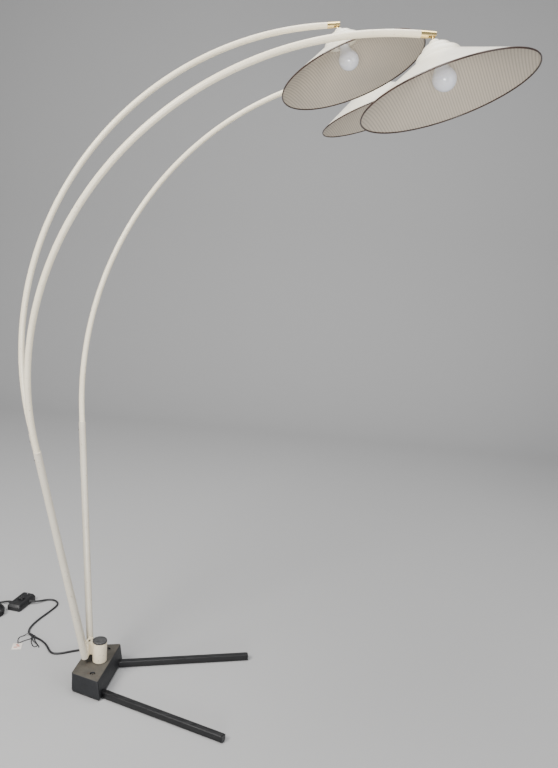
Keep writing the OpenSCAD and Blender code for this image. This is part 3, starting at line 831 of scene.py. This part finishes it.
def tube_mesh(name, line, radius, body, node, mat, sides=32, lip=0.6):
    """A tube's outside along a line, closed at its ends, with slightly rounded lips."""
    bm = bmesh.new()
    pts = [line[0], line[0] + (line[1] - line[0]).normalized() * lip] + line[1:-1] + \
          [line[-1] + (line[-2] - line[-1]).normalized() * lip, line[-1]]
    radii = [radius - lip] + [radius] * (len(pts) - 2) + [radius - lip]
    sweep(bm, pts, radii, sides, True)
    return finish_mesh(name, bm, None, 40, body, (node,), [mat])


for k in "abc":
    A = arm_frame(k)
    arm, shade = "arm_" + k, "shade_" + k
    # lower tube: outer skin, mouth and a short way down inside it
    bm = bmesh.new()
    r, n = LOWER_D / 2, UPPER_D / 2 + 0.06
    lathe(bm, round_profile([(0, 0.0), (r - 0.8, 0.0), (r, 0.8), (r, LOWER_LENGTH - 0.8),
                             (r - 0.8, LOWER_LENGTH), (n, LOWER_LENGTH),
                             (n, LOWER_LENGTH - 30), (0, LOWER_LENGTH - 30)],
                            [0, 0.4, 0.4, 0.5, 0.5, 0.2, 0, 0]), 48)
    finish_mesh("lower_pipe_" + k, bm, A, 40, "holder", ("lower_tube_" + k,), [CREAM_SHADED])
    paint("arm_screw_" + k, SCREW)
    # upper tube: one arc
    R_ = ARMS[k]["bend"]
    line = []
    for j in range(97):
        a = ARC / R_ * j / 96
        line.append(A @ Vector((R_ * (1 - math.cos(a)), 0, LOWER_LENGTH + NECK + R_ * math.sin(a))))
    tube_mesh("bent_pipe_" + k, line, UPPER_D / 2, arm, "upper_tube_" + k, CREAM, 32, 0.25)
    for node, mat in (("swivel_spigot_", CREAM), ("brass_tip_", BRASS), ("tilt_pin_", BRASS),
                      ("shade_stem_", BRASS),
                      ("lampholder_", IVORY), ("bulb_cap_", CAP_METAL)):
        paint(node + k, mat)

    S = shade_frame(k)
    # shell: spun crown and skirt with a rolled edge
    bm = bmesh.new()
    outer = [(3.8, -APEX)] + [(x, -APEX - d) for x, d in CROWN]
    outer = round_profile(outer, [0, 1, 2, 2, 2.5, 3, 4, 4, 1.5, 4, 4, 3, 3], 4)
    edge = -APEX - SHADE_H
    skirt = [(CROWN_R + (RIM_R - CROWN_R) * j / 24, SKIRT_TOP - (SHADE_H - CROWN_DROP) * j / 24)
             for j in range(1, 25)]
    inner = [(x - 1.1, z - 0.25) for x, z in reversed(skirt[:-1])]
    inner += [(max(x - 1.0, 3.8), z - 0.9) for x, z in reversed(outer)]
    lathe(bm, outer + skirt + [(RIM_R - 1.2, edge - 0.2)] + inner, 160, True)
    finish_mesh("spun_shell_" + k, bm, S, 24, shade,
                ("shade_crown_" + k, "shade_skirt_" + k), [SHADE])

    # lining: parallel ribs straight across the shade, real waves on the cone's inside
    bm = bmesh.new()
    uv_layer = bm.loops.layers.uv.new("flat")
    grid = []
    for i in range(LINER_ROWS + 1):
        ring_r = LINER_R[0] + (LINER_R[1] - LINER_R[0]) * i / LINER_ROWS
        row = []
        for j in range(LINER_SEG):
            az = 2 * math.pi * j / LINER_SEG
            wave = RIB_DEPTH * math.sin(2 * math.pi * ring_r * math.cos(az - RIB_TURN) / RIB_PITCH)
            off = LINER_GAP + wave
            r2 = ring_r - 0.47 * off
            z2 = SKIRT_TOP - (ring_r - CROWN_R) * SLOPE - 0.88 * off
            row.append(bm.verts.new((r2 * math.cos(az), r2 * math.sin(az), z2)))
        grid.append(row)
    for lo_, hi_ in zip(grid, grid[1:]):
        for j in range(LINER_SEG):
            jn = (j + 1) % LINER_SEG
            f = bm.faces.new((lo_[j], hi_[j], hi_[jn], lo_[jn]))
            f.smooth = True
            for loop in f.loops:
                x, y = loop.vert.co.xy
                loop[uv_layer].uv = ((x * math.cos(RIB_TURN) + y * math.sin(RIB_TURN)) * MM,
                                     (y * math.cos(RIB_TURN) - x * math.sin(RIB_TURN)) * MM)
    finish_mesh("ribbed_lining_" + k, bm, S, None, shade, (), [LINER])

    # trim: a thin rolled bead round the rim
    bm = bmesh.new()
    bead = []
    for j in range(14):
        t = 2 * math.pi * j / 14
        bead.append((RIM_R - 0.9 + 1.9 * math.cos(t), edge - 1.4 + 2.3 * math.sin(t)))
    lathe(bm, bead, 192, True)
    finish_mesh("rim_bead_" + k, bm, S, 60, shade, ("rim_trim_" + k,), [TRIM])

    # bulb
    neck = BULB_NECK
    zc = -APEX - BULB_DROP
    prof = [(12.2, neck + 1.0), (13.0, neck), (13.6, neck - 5)]
    angles = [math.radians(38 - 8 * j) for j in range(17)]
    globe = [(BULB_R * math.cos(t), zc + BULB_R * math.sin(t)) for t in angles]
    blend = [(14.6, neck - 10), (17.0, neck - 16), (20.2, neck - 21.5)]
    prof = prof + blend + [p for p in globe if p[1] < neck - 25] + [(0, zc - BULB_R)]
    prof = round_profile(prof, [0, 1, 3, 6, 8, 8] + [6] * (len(prof) - 6), 3)
    bm = bmesh.new()
    lathe(bm, prof, 64)
    finish_mesh("opal_bulb_" + k, bm, S, 60, shade, ("bulb_glass_" + k,), [OPAL])

# ------------------------------------------------------------------ stage and light

def plain(name, color, rough):
    m, _, bsdf = new_material(name)
    bsdf.inputs["Base Color"].default_value = (*color, 1)
    bsdf.inputs["Roughness"].default_value = rough
    return m


bm = bmesh.new()
steps = 24
profile = [(-8000.0, 0.0), (3200.0, 0.0)]
for j in range(1, steps + 1):
    t = math.pi / 2 * j / steps
    profile.append((3200 + 1500 * math.sin(t), 1500 - 1500 * math.cos(t)))
profile.append((4700.0, 9000.0))
rows_ = [[bm.verts.new((x, y, z)) for x in (-9000, 9000)] for y, z in profile]
for a_, b_ in zip(rows_, rows_[1:]):
    bm.faces.new((a_[0], a_[1], b_[1], b_[0]))
floor = finish_mesh("studio_floor", bm, None, 60, None, (),
                    [plain("pale_floor", (0.42, 0.42, 0.42), 0.8)])


def area_light(name, at, target, width, height, power, color=(1, 1, 1)):
    data = bpy.data.lights.new(name, "AREA")
    data.shape = "RECTANGLE"
    data.size, data.size_y = width, height
    data.energy = power
    data.color = color
    obj = bpy.data.objects.new(name, data)
    bpy.context.scene.collection.objects.link(obj)
    d = Vector(target) - Vector(at)
    obj.matrix_world = Matrix.Translation(at) @ d.to_track_quat("-Z", "Y").to_matrix().to_4x4()


area_light("key", (-1.6, -2.6, 3.6), (0.3, 0.2, 1.2), 1.7, 1.7, 250, (1.0, 0.98, 0.95))
area_light("overhead", (0.6, 0.4, 4.4), (0.4, 0.2, 0.0), 2.6, 2.6, 150)
area_light("fill", (3.4, -1.8, 1.6), (0.4, 0.2, 1.2), 2.0, 2.6, 40, (0.95, 0.97, 1.0))
area_light("low", (0.8, -4.4, 0.7), (0.7, 0.2, 1.9), 1.6, 0.8, 120)
world = bpy.data.worlds.new("studio")
world.use_nodes = True
world.node_tree.nodes["Background"].inputs["Color"].default_value = (0.93, 0.95, 1.0, 1)
world.node_tree.nodes["Background"].inputs["Strength"].default_value = 0.28
bpy.context.scene.world = world
